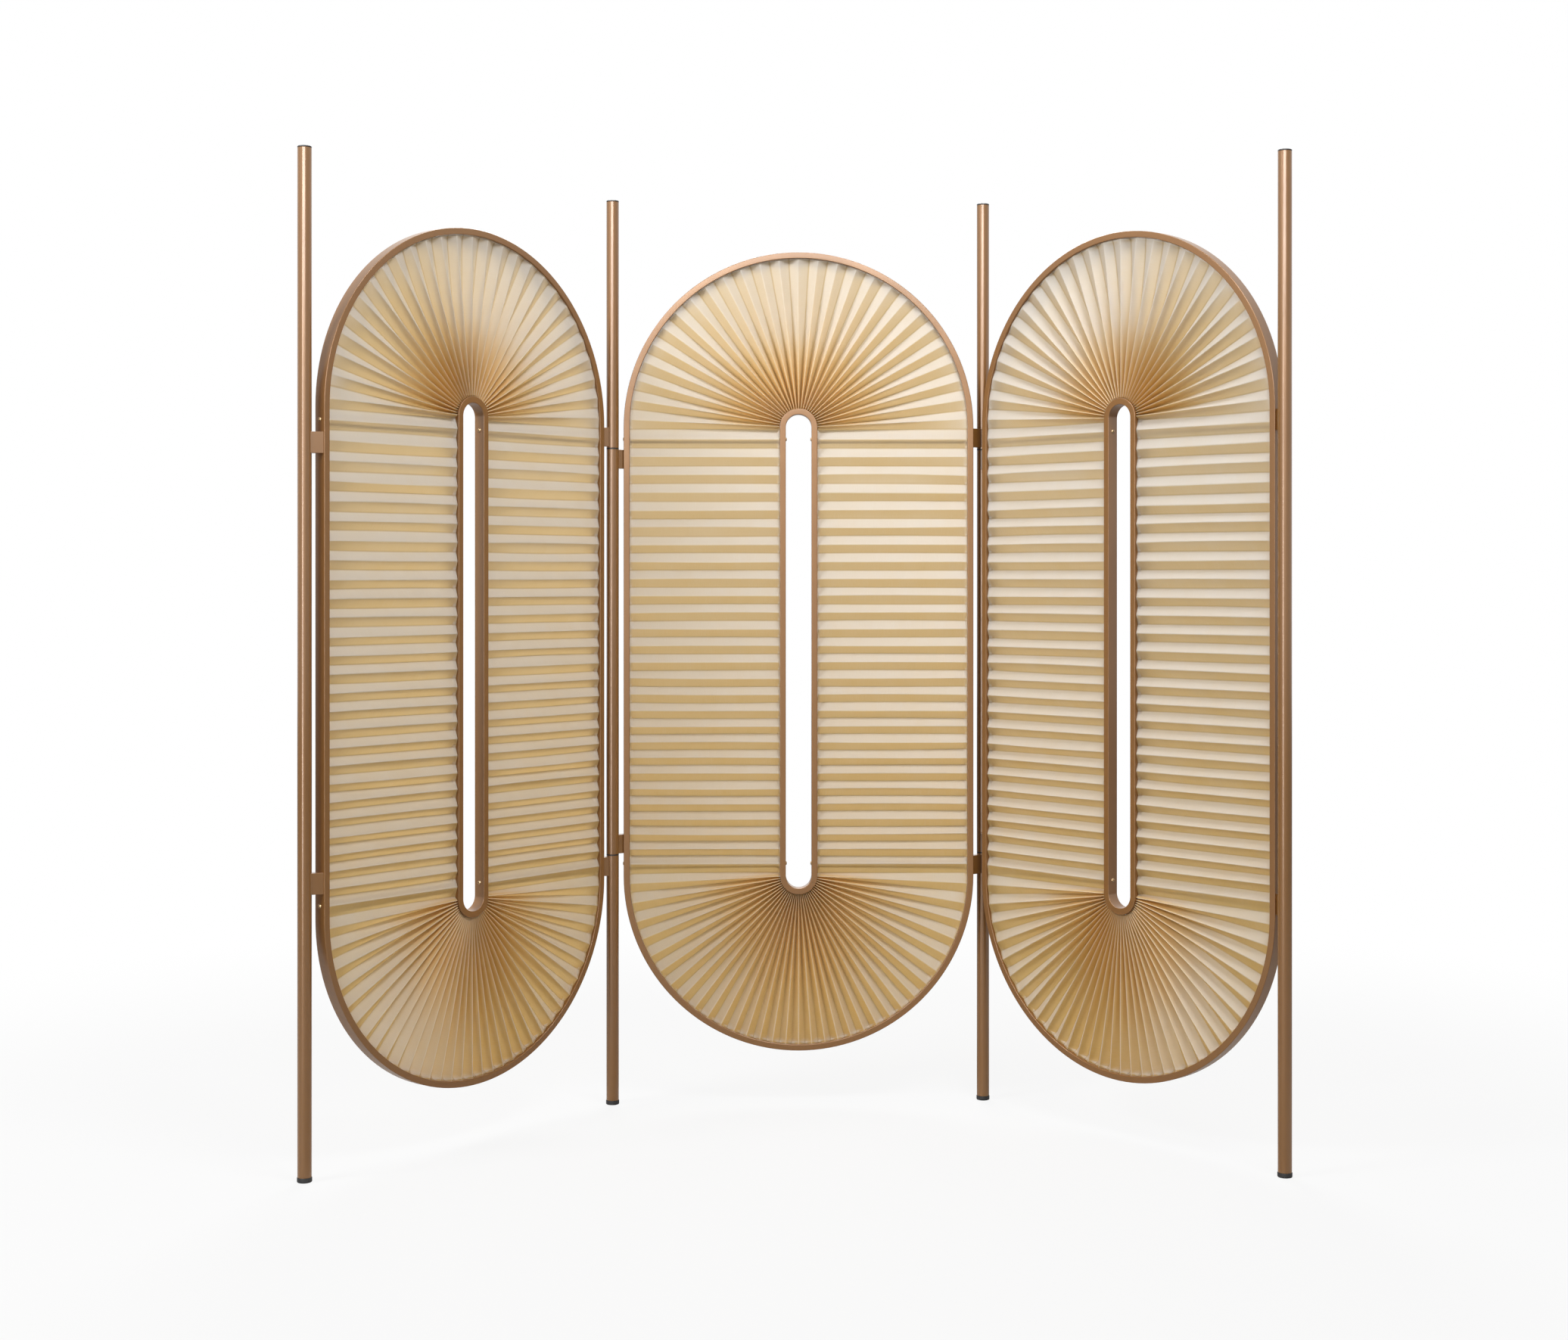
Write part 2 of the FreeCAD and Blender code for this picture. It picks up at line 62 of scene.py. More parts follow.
MERGE_DISTANCE = 1e-6
ON_AXIS = 1e-9

# Half outline of a screw's domed head with its socket, as radius and height above the frame
SCREW_HEAD = ((0, 0.0009), (0.0014, 0.0009), (0.0016, 0.0021), (0.0024, 0.0020),
              (0.0034, 0.0014), (0.0040, 0.0004), (0.0040, -0.0005), (0, -0.0005))


class Side(Enum):
    """Left or right side of a panel, seen from the front."""

    LEFT = -1
    RIGHT = 1


class Level(Enum):
    """Lower or upper of the two heights at which a panel is held."""

    LOWER = -1
    UPPER = 1


# Node trees

class NodeTree:
    """Short way to add and link the nodes of a material, a group or the world."""

    def __init__(self, tree: bpy.types.NodeTree) -> None:
        """Take over a node tree.

        Args:
            tree: The tree that the nodes go into.
        """
        self.tree = tree

    def add(self, kind: str, settings: dict | None = None, **inputs: object) -> bpy.types.Node:
        """Add a node.

        Args:
            kind: The node's type name, without its ShaderNode prefix.
            settings: Properties of the node.
            **inputs: Values or sockets for its inputs, with underscores for spaces.

        Returns:
            The new node.
        """
        node = self.tree.nodes.new("ShaderNode" + kind)
        for name, value in (settings or {}).items():
            setattr(node, name, value)
        for name, value in inputs.items():
            self.set(node, name.replace("_", " "), value)
        return node

    def set(self, node: bpy.types.Node, name: str | int, value: object) -> None:
        """Give an input a value, or link a socket to it.

        Args:
            node: The node that has the input.
            name: The input's name or number.
            value: A number, a colour or an output socket.
        """
        socket = node.inputs[name]
        if isinstance(value, bpy.types.NodeSocket):
            self.tree.links.new(value, socket)
        else:
            socket.default_value = value

    def math(self, operation: str, *values: object) -> bpy.types.NodeSocket:
        """Add a Math node.

        Args:
            operation: Its operation.
            *values: Numbers or sockets.

        Returns:
            Its output.
        """
        node = self.add("Math", {"operation": operation})
        for number, value in enumerate(values):
            self.set(node, number, value)
        return node.outputs[0]

    def mix(self, factor: object, first: object, second: object) -> bpy.types.NodeSocket:
        """Mix two colours.

        Args:
            factor: Share of the second colour.
            first: First colour.
            second: Second colour.

        Returns:
            The mixed colour.
        """
        node = self.add("Mix", {"data_type": "RGBA"})
        self.set(node, 0, factor)
        self.set(node, 6, first)
        self.set(node, 7, second)
        return node.outputs[2]

    def blend(self, factor: object, first: bpy.types.Node,
              second: bpy.types.Node) -> bpy.types.Node:
        """Mix two shaders.

        Args:
            factor: Share of the second shader.
            first: First shader's node.
            second: Second shader's node.

        Returns:
            The node of the mixed shader.
        """
        node = self.add("MixShader")
        for number, value in enumerate((factor, first.outputs[0], second.outputs[0])):
            self.set(node, number, value)
        return node

    def ramp(self, value: object, low: float, high: float, start: float = 0.0,
             end: float = 1.0) -> bpy.types.NodeSocket:
        """Spread a range of values over another one, smoothly.

        Args:
            value: The socket to spread.
            low: Lower end of the range that is read.
            high: Upper end of the range that is read.
            start: Result at the lower end.
            end: Result at the upper end.

        Returns:
            The result.
        """
        node = self.add("MapRange", {"interpolation_type": "SMOOTHSTEP"})
        for number, setting in enumerate((value, low, high, start, end)):
            self.set(node, number, setting)
        return node.outputs[0]


def group(name: str, inputs: Sequence[tuple[str, float]], outputs: Sequence[str],
          build: Callable[[NodeTree, bpy.types.Node, bpy.types.Node], None]
          ) -> bpy.types.ShaderNodeTree:
    """Make a shader node group once and keep it under its name.

    Args:
        name: The group's name.
        inputs: Names and defaults of its number inputs.
        outputs: Names of its number outputs.
        build: Fills the group, given its tree, its input node and its output node.

    Returns:
        The group.
    """
    found = bpy.data.node_groups.get(name)
    if found:
        return found
    tree = bpy.data.node_groups.new(name, "ShaderNodeTree")
    for label, value in inputs:
        socket = tree.interface.new_socket(label, in_out="INPUT", socket_type="NodeSocketFloat")
        socket.default_value = value
    for label in outputs:
        tree.interface.new_socket(label, in_out="OUTPUT", socket_type="NodeSocketFloat")
    nodes = NodeTree(tree)
    build(nodes, nodes.tree.nodes.new("NodeGroupInput"), nodes.tree.nodes.new("NodeGroupOutput"))
    return tree


def fine_grain() -> bpy.types.ShaderNodeTree:
    """Group for the fine speckle of a sprayed or moulded surface, and its broad patches.

    Returns:
        The group, with the outputs Speckle and Patches from 0 to 1.
    """
    def build(nodes: NodeTree, given: bpy.types.Node, result: bpy.types.Node) -> None:
        """Fill the group.

        Args:
            nodes: The group's nodes.
            given: Its input node.
            result: Its output node.
        """
        place = nodes.add("TexCoord").outputs["Object"]
        fine = nodes.add("TexNoise", Vector=place, Scale=given.outputs[0], Detail=3.0,
                         Roughness=0.6)
        broad = nodes.add("TexNoise", Vector=place, Scale=given.outputs[1], Detail=4.0,
                          Roughness=0.55)
        nodes.set(result, 0, nodes.ramp(fine.outputs[0], 0.3, 0.7))
        nodes.set(result, 1, nodes.ramp(broad.outputs[0], 0.3, 0.7))

    return group("FineGrain", (("Speckle Scale", 2500.0), ("Patch Scale", 5.0)),
                 ("Speckle", "Patches"), build)


def use_group(nodes: NodeTree, tree: bpy.types.ShaderNodeTree, **inputs: object) -> bpy.types.Node:
    """Place a node group in a material.

    Args:
        nodes: The material's nodes.
        tree: The group.
        **inputs: Values for its inputs, with underscores for spaces.

    Returns:
        The group's node.
    """
    node = nodes.add("Group", {"node_tree": tree})
    for name, value in inputs.items():
        nodes.set(node, name.replace("_", " "), value)
    return node


# Finishes

def new_material(name: str) -> tuple[bpy.types.Material, NodeTree, bpy.types.Node]:
    """Make an empty material with its shader.

    Args:
        name: The material's name.

    Returns:
        The material, its nodes and its Principled shader.
    """
    material = bpy.data.materials.new(name + "_finish")
    material["slot"] = name
    material.use_nodes = True
    material.node_tree.nodes.clear()
    nodes = NodeTree(material.node_tree)
    shader = nodes.add("BsdfPrincipled")
    nodes.add("OutputMaterial", Surface=shader.outputs[0])
    return material, nodes, shader


@dataclass(frozen=True)
class MetalFinish:
    """Satin metal with a fine sprayed grain."""

    name: str
    light: Colour
    deep: Colour
    metallic: float = 0.45
    roughness: float = 0.38
    coat: float = 0.15
    coat_smoothness: float = 0.5
    speckle_scale: float = 2600.0
    patch_scale: float = 6.0
    speckle_share: float = 0.15
    speckle_height: float = 0.00002

    def material(self) -> bpy.types.Material:
        """Build the material.

        Returns:
            The finished material.
        """
        material, nodes, shader = new_material(self.name)
        grain = use_group(nodes, fine_grain(), Speckle_Scale=self.speckle_scale,
                          Patch_Scale=self.patch_scale)
        speckle, patches = grain.outputs[:2]
        tone = nodes.math("ADD", nodes.math("MULTIPLY", speckle, self.speckle_share),
                          nodes.math("MULTIPLY", patches, 1 - self.speckle_share))
        nodes.set(shader, "Base Color", nodes.mix(tone, (*self.deep, 1), (*self.light, 1)))
        nodes.set(shader, "Metallic", self.metallic)
        nodes.set(shader, "Coat Weight", self.coat)
        nodes.set(shader, "Coat Roughness", self.roughness * self.coat_smoothness)
        nodes.set(shader, "Roughness", nodes.ramp(tone, 0.0, 1.0, self.roughness + 0.05,
                                                  self.roughness - 0.04))
        bump = nodes.add("Bump", Strength=0.12, Distance=self.speckle_height, Height=speckle)
        nodes.set(shader, "Normal", bump.outputs[0])
        return material


@dataclass(frozen=True)
class MouldedFinish:
    """Matt black moulded plastic or rubber with faint dust."""

    name: str
    colour: Colour
    dust: Colour
    roughness: float = 0.55
    speckle_scale: float = 1800.0
    patch_scale: float = 60.0

    def material(self) -> bpy.types.Material:
        """Build the material.

        Returns:
            The finished material.
        """
        material, nodes, shader = new_material(self.name)
        grain = use_group(nodes, fine_grain(), Speckle_Scale=self.speckle_scale,
                          Patch_Scale=self.patch_scale)
        dusty = nodes.math("MULTIPLY", nodes.ramp(grain.outputs[1], 0.45, 1.0), 0.5)
        nodes.set(shader, "Base Color", nodes.mix(dusty, (*self.colour, 1), (*self.dust, 1)))
        nodes.set(shader, "Roughness", nodes.ramp(grain.outputs[0], 0.0, 1.0,
                                                  self.roughness - 0.08, self.roughness + 0.1))
        bump = nodes.add("Bump", Strength=0.3, Distance=0.00005, Height=grain.outputs[0])
        nodes.set(shader, "Normal", bump.outputs[0])
        return material


@dataclass(frozen=True)
class ClothFinish:
    """Finely woven cloth that lets light through, with pressed folds.

    Faces that look up are painted pale as lit from above and the others painted deep as shade,
    both with painted shade lower down. Where the cloth is gathered it is painted golden, as shade.
    """

    name: str
    # Painted light and shade: light and light_low are painted lit faces, deep and deep_low painted
    # shaded faces, golden is painted shade where folds crowd, and the two crest colours are
    # painted light on the crests.
    light: Colour
    light_low: Colour
    deep: Colour
    deep_low: Colour
    golden: Colour
    crease: Colour
    painted_crest_highlight: Colour
    through: Colour
    passed: float = 0.4
    thread: float = 0.00042
    painted_valley_shade: float = 0.6

    def weave(self, nodes: NodeTree, flat: bpy.types.NodeSocket) -> bpy.types.NodeSocket:
        """Height of a plain weave.

        Args:
            nodes: The material's nodes.
            flat: Place on the flat cloth in metres.

        Returns:
            The height from 0 to 1.
        """
        parts = nodes.add("SeparateXYZ", Vector=flat)
        turn = math.pi / self.thread
        waves = [nodes.math("ABSOLUTE", nodes.math("SINE", nodes.math("MULTIPLY", part, turn)))
                 for part in parts.outputs[:2]]
        return nodes.math("MULTIPLY", *waves)

    def face_colour(self, nodes: NodeTree, tone: bpy.types.NodeSocket) -> bpy.types.NodeSocket:
        """Colour of the faces, painted lit where they look up and with painted shade lower down.

        Args:
            nodes: The material's nodes.
            tone: The cloth's uneven tone from 0 to 1.

        Returns:
            The colour.
        """
        spot = nodes.add("TexCoord")
        # Painted light from above: the upward part of a face's normal makes it paler.
        upward = nodes.add("SeparateXYZ", Vector=spot.outputs["Normal"]).outputs[2]
        height = nodes.add("SeparateXYZ", Vector=spot.outputs["Object"]).outputs[2]
        # Painted sky light: faces that look up get more of it and everything gets less lower down;
        # the cloth's random tone adds a little.
        painted_sky_light = nodes.math("ADD", upward, nodes.ramp(height, 0.2, 1.0, -0.42, 0.0))
        painted_lit_share_and_tone = nodes.math("ADD", nodes.ramp(painted_sky_light, -0.6, 0.1, 0.0, 0.8),
                           nodes.ramp(tone, 0.3, 0.7, 0.0, 0.2))
        # Painted shade: both the deep and the pale colour turn darker and more golden lower down.
        deep = nodes.mix(nodes.ramp(height, 0.2, 1.4, 1.0, 0.0), (*self.deep, 1),
                         (*self.deep_low, 1))
        light = nodes.mix(nodes.ramp(height, 0.3, 1.2, 1.0, 0.0), (*self.light, 1),
                          (*self.light_low, 1))
        return nodes.mix(painted_lit_share_and_tone, deep, light)

    def fold_colour(self, nodes: NodeTree, colour: bpy.types.NodeSocket) -> bpy.types.NodeSocket:
        """Cloth colour with painted shade in gathers and valleys, and painted highlights on
        crests.

        Args:
            nodes: The material's nodes.
            colour: The faces' colour.

        Returns:
            The colour.
        """
        fold = nodes.add("Attribute", {"attribute_name": "fold"}).outputs["Fac"]
        gathered = nodes.add("Attribute", {"attribute_name": "gathered"}).outputs["Fac"]
        # Painted shade: where the folds crowd round the slot the colour turns golden, standing in
        # for light bouncing between them.
        colour = nodes.mix(nodes.ramp(gathered, 0.68, 0.99, 0.0, 0.95), colour, (*self.golden, 1))
        # Painted light: near the slot the front half of each fold is lightened towards its crest.
        near_slot = nodes.ramp(gathered, 0.55, 0.95)
        edge = nodes.math("MULTIPLY", nodes.ramp(fold, 0.0, 1.0, 0.0, 0.6), near_slot)
        colour = nodes.mix(edge, colour, (*self.crease, 1))
        # Painted highlight: a thin pale line along each front crest.
        colour = nodes.mix(nodes.ramp(fold, 0.75, 1.0, 0.0, 0.65), colour, (*self.painted_crest_highlight, 1))
        # Painted shade: the valleys, and near the slot the back half of each fold, are darkened
        # golden.
        tight = nodes.math("MULTIPLY", nodes.ramp(fold, 0.1, -1.0, 0.0, 0.95), near_slot)
        valley = nodes.math("MAXIMUM", nodes.ramp(fold, -0.7, -1.0, 0.0, 0.6), tight)
        return nodes.mix(valley, colour, (*(part * self.painted_valley_shade for part in self.golden), 1))

    def material(self) -> bpy.types.Material:
        """Build the material.

        Returns:
            The finished material.
        """
        material, nodes, shader = new_material(self.name)
        flat = nodes.add("UVMap", {"uv_map": "flat"}).outputs[0]
        weave = self.weave(nodes, flat)
        patches = nodes.add("TexNoise", Vector=flat, Scale=14.0, Detail=5.0, Roughness=0.6)
        slubs = nodes.add("TexNoise", Vector=nodes.add(
            "Mapping", Vector=flat, Scale=(60.0, 900.0, 1.0)).outputs[0], Scale=1.0, Detail=2.0)
        tone = nodes.math("ADD", nodes.math("MULTIPLY", patches.outputs[0], 0.6),
                          nodes.math("MULTIPLY", slubs.outputs[0], 0.4))
        colour = self.fold_colour(nodes, self.face_colour(nodes, tone))
        nodes.set(shader, "Base Color", colour)
        nodes.set(shader, "Roughness", nodes.ramp(weave, 0.0, 1.0, 0.72, 0.6))
        nodes.set(shader, "Sheen Weight", 0.1)
        nodes.set(shader, "Sheen Roughness", 0.4)
        height = nodes.math("ADD", weave, nodes.math("MULTIPLY", slubs.outputs[0], 0.8))
        bump = nodes.add("Bump", Strength=0.35, Distance=0.00012, Height=height)
        nodes.set(shader, "Normal", bump.outputs[0])
        self.let_light_through(nodes, shader, bump)
        return material

    def let_light_through(self, nodes: NodeTree, shader: bpy.types.Node,
                          bump: bpy.types.Node) -> None:
        """Let part of the light through the cloth, and all of it through the wall behind.

        Args:
            nodes: The material's nodes.
            shader: The Principled shader.
            bump: The weave's bump.
        """
        glow = nodes.add("BsdfTranslucent", Color=(*self.through, 1), Normal=bump.outputs[0])
        sheet = nodes.blend(self.passed, shader, glow)
        behind = nodes.add("NewGeometry").outputs["Backfacing"]
        whole = nodes.blend(behind, sheet, nodes.add("BsdfTransparent"))
        output = next(node for node in nodes.tree.nodes if node.type == "OUTPUT_MATERIAL")
        nodes.set(output, "Surface", whole.outputs[0])


@dataclass
class Finishes:
    """Every finish of the screen."""

    bar: bpy.types.Material
    tube: bpy.types.Material
    cloth: bpy.types.Material
    steel: bpy.types.Material
    screw: bpy.types.Material
    bush: bpy.types.Material
    cap: bpy.types.Material
    foot: bpy.types.Material
    washer: bpy.types.Material

    @classmethod
    def build(cls) -> "Finishes":
        """Make all the materials.

        Returns:
            The finishes.
        """
        black, dust = (0.012, 0.011, 0.011), (0.05, 0.046, 0.042)
        return cls(
            bar=MetalFinish("gilt_bar", (0.27, 0.123, 0.030), (0.245, 0.107, 0.023), 0.3,
                            roughness=0.42, coat=0.7).material(),
            tube=MetalFinish("gilt_tube", (0.27, 0.121, 0.028), (0.245, 0.107, 0.022), 0.2,
                             roughness=0.34, coat=0.9).material(),
            # The cloth's colours hold painted light and shade on its faces, crests and valleys.
            cloth=ClothFinish("pleated_cloth", light=(0.88, 0.85, 0.81),
                              light_low=(0.80, 0.735, 0.64), deep=(0.78, 0.61, 0.36),
                              deep_low=(0.71, 0.45, 0.10), golden=(0.78, 0.50, 0.13),
                              crease=(0.92, 0.74, 0.40), painted_crest_highlight=(0.95, 0.92, 0.86),
                              through=(0.86, 0.61, 0.27)).material(),
            steel=MetalFinish("rod_steel", (0.52, 0.50, 0.47), (0.40, 0.385, 0.36), 1.0,
                              0.35).material(),
            screw=MetalFinish("screw_brass", (0.46, 0.33, 0.19), (0.36, 0.25, 0.14), 1.0,
                              0.3).material(),
            bush=MouldedFinish("bush_plastic", (0.6, 0.58, 0.52), (0.5, 0.48, 0.44)).material(),
            cap=MouldedFinish("black_cap", black, dust, 0.42).material(),
            foot=MouldedFinish("black_foot", black, dust, 0.6).material(),
            washer=MouldedFinish("black_washer", black, dust, 0.5).material(),
        )


# Making pieces

def finish_piece(mesh: bmesh.types.BMesh, name: str, place: Matrix, material: bpy.types.Material,
                 body: str, nodes: Iterable[str], smooth: float = 35.0,
                 even: bool = True) -> bpy.types.Object:
    """Turn a built mesh into a finished piece at its place.

    Args:
        mesh: The mesh, built about its own origin.
        name: The piece's name.
        place: Where it goes in the row frame.
        material: Its finish.
        body: The body that it moves with.
        nodes: The solids that it stands for.
        smooth: Steepest edge that is shaded smooth, in degrees.
        even: Whether flat faces beside eased edges are shaded flat.

    Returns:
        The finished piece.
    """
    bmesh.ops.transform(mesh, matrix=place, verts=mesh.verts)
    bmesh.ops.recalc_face_normals(mesh, faces=mesh.faces)
    data = bpy.data.meshes.new(name)
    mesh.to_mesh(data)
    mesh.free()
    data.shade_smooth()
    data.set_sharp_from_angle(angle=math.radians(smooth))
    data.materials.append(material)
    piece = bpy.data.objects.new(name, data)
    bpy.context.scene.collection.objects.link(piece)
    if even:
        piece.modifiers.new("even", "WEIGHTED_NORMAL").keep_sharp = True
    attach(piece, body)
    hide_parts(*nodes)
    log.info("%s: %d faces", name, len(data.polygons))
    return piece


def spun(profile: Sequence[tuple[float, float]], steps: int = 64) -> bmesh.types.BMesh:
    """Solid of revolution about Z.

    Args:
        profile: Closed outline as radius and height. Points at radius zero become poles.
        steps: Faces around.

    Returns:
        The mesh.
    """
    mesh = bmesh.new()
    verts = [mesh.verts.new((radius, 0, height)) for radius, height in profile]
    edges = [mesh.edges.new((a, b)) for a, b in zip(verts, verts[1:] + verts[:1])
             if not (abs(a.co.x) < ON_AXIS and abs(b.co.x) < ON_AXIS)]
    bmesh.ops.spin(mesh, geom=verts + edges, axis=(0, 0, 1), cent=(0, 0, 0), angle=2 * math.pi,
                   steps=steps, use_merge=True)
    bmesh.ops.remove_doubles(mesh, verts=mesh.verts, dist=MERGE_DISTANCE)
    return mesh


def joined(meshes: Sequence[tuple[bmesh.types.BMesh, Matrix]]) -> bmesh.types.BMesh:
    """Gather several meshes, each at its own place, in one.

    Args:
        meshes: Meshes and their places.

    Returns:
        The mesh that holds them all.
    """
    whole = bmesh.new()
    for mesh, place in meshes:
        bmesh.ops.transform(mesh, matrix=place, verts=mesh.verts)
        data = bpy.data.meshes.new("part")
        mesh.to_mesh(data)
        mesh.free()
        whole.from_mesh(data)
        bpy.data.meshes.remove(data)
    return whole


@dataclass
class Panel:
    """One panel: its frames, cloth, rods and screws."""

    name: str
    body: str
    turn_degrees: float
    hand: int
    width: float = 0.708
    straight: float = 0.908
    depth: float = 0.026
    band: float = 0.012
    slot_radius: float = 0.026
    edge: float = 0.0011
    arc_steps: int = 72
    seam: float = 1e-5
    rod_height: float = 0.430
    rod_radius: float = 0.003

    def place(self) -> Matrix:
        """Where the panel's centre stands and how it is turned.

        Returns:
            The matrix from the panel's own frame to the row frame.
        """
        low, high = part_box(self.name + "_outer_frame")
        return (Matrix.Translation((low + high) / 2)
                @ Matrix.Rotation(math.radians(self.turn_degrees), 4, "Z"))

    def ring(self, inner_radius: float) -> bmesh.types.BMesh:
        """Flat bar with eased edges, bent into a stadium.

        Args:
            inner_radius: Radius of its inner half circles.

        Returns:
            The mesh about the panel's centre.
        """
        mesh = bmesh.new()
        half = self.depth / 2
        corners = [(inner_radius, -half), (inner_radius + self.band, -half),
                   (inner_radius + self.band, half), (inner_radius, half)]
        verts = [mesh.verts.new((x, y, -self.straight / 2)) for x, y in corners]
        mesh.faces.new(verts)
        bmesh.ops.bevel(mesh, geom=verts, offset=self.edge, segments=3, profile=0.5,
                        affect="VERTICES", material=-1)
        bmesh.ops.delete(mesh, geom=list(mesh.faces), context="FACES_ONLY")
        geom = list(mesh.verts) + list(mesh.edges)
        for up in (self.straight, -self.straight):
            moved = bmesh.ops.extrude_edge_only(
                mesh, edges=[item for item in geom if isinstance(item, bmesh.types.BMEdge)])
            geom = [item for item in moved["geom"] if not isinstance(item, bmesh.types.BMFace)]
            bmesh.ops.translate(
                mesh, vec=(0, 0, up),
                verts=[item for item in geom if isinstance(item, bmesh.types.BMVert)])
            bend = bmesh.ops.spin(mesh, geom=geom, axis=(0, -1, 0), cent=(0, 0, up / 2),
                                  angle=math.pi, steps=self.arc_steps)
            geom = bend["geom_last"]
        bmesh.ops.remove_doubles(mesh, verts=mesh.verts, dist=self.seam)
        return mesh

    def build_frames(self, finishes: Finishes) -> None:
        """Make the outer frame and the slot frame.

        Args:
            finishes: The screen's finishes.
        """
        for word, radius in (("outer", self.width / 2 - self.band), ("slot", self.slot_radius)):
            node = "%s_%s_frame" % (self.name, word)
            finish_piece(self.ring(radius), node + "_bar", self.place(), finishes.bar, self.body,
                         [node])

    def build_rods(self, finishes: Finishes) -> None:
        """Make the spreader rods behind the cloth's folds.

        Args:
            finishes: The screen's finishes.
        """
        start = self.slot_radius + self.band
        length = self.width / 2 - self.band - start
        rods = []
        for side in Side:
            for level in Level:
                rod = spun([(0, 0), (self.rod_radius, 0), (self.rod_radius, length), (0, length)],
                           steps=24)
                x = start if side is Side.RIGHT else -start - length
                place = (Matrix.Translation((x, 0, level.value * self.rod_height))
                         @ Matrix.Rotation(math.pi / 2, 4, "Y"))
                rods.append((rod, place))
        node = self.name + "_spreader_rods"
        finish_piece(joined(rods), node + "_set", self.place(), finishes.steel, self.body, [node])

    def build_screws(self, finishes: Finishes) -> None:
        """Make the domed screws in the frames' sides, but none where brackets cover them.

        Args:
            finishes: The screen's finishes.
        """
        heads = []
        for side in Side:
            for level in Level:
                for outside in (False, True):
                    if outside and side is Side.RIGHT:
                        continue
                    head = spun(SCREW_HEAD, steps=32)
                    seat = (self.width / 2 if outside else self.slot_radius) * side.value
                    away = side.value if outside else -side.value
                    place = (Matrix.Translation((seat, 0, level.value * self.rod_height))
                             @ Matrix.Rotation(away * math.pi / 2, 4, "Y"))
                    heads.append((head, place))
        node = self.name + "_rod_screws"
        finish_piece(joined(heads), node + "_heads", self.place(), finishes.screw, self.body,
                     [node])


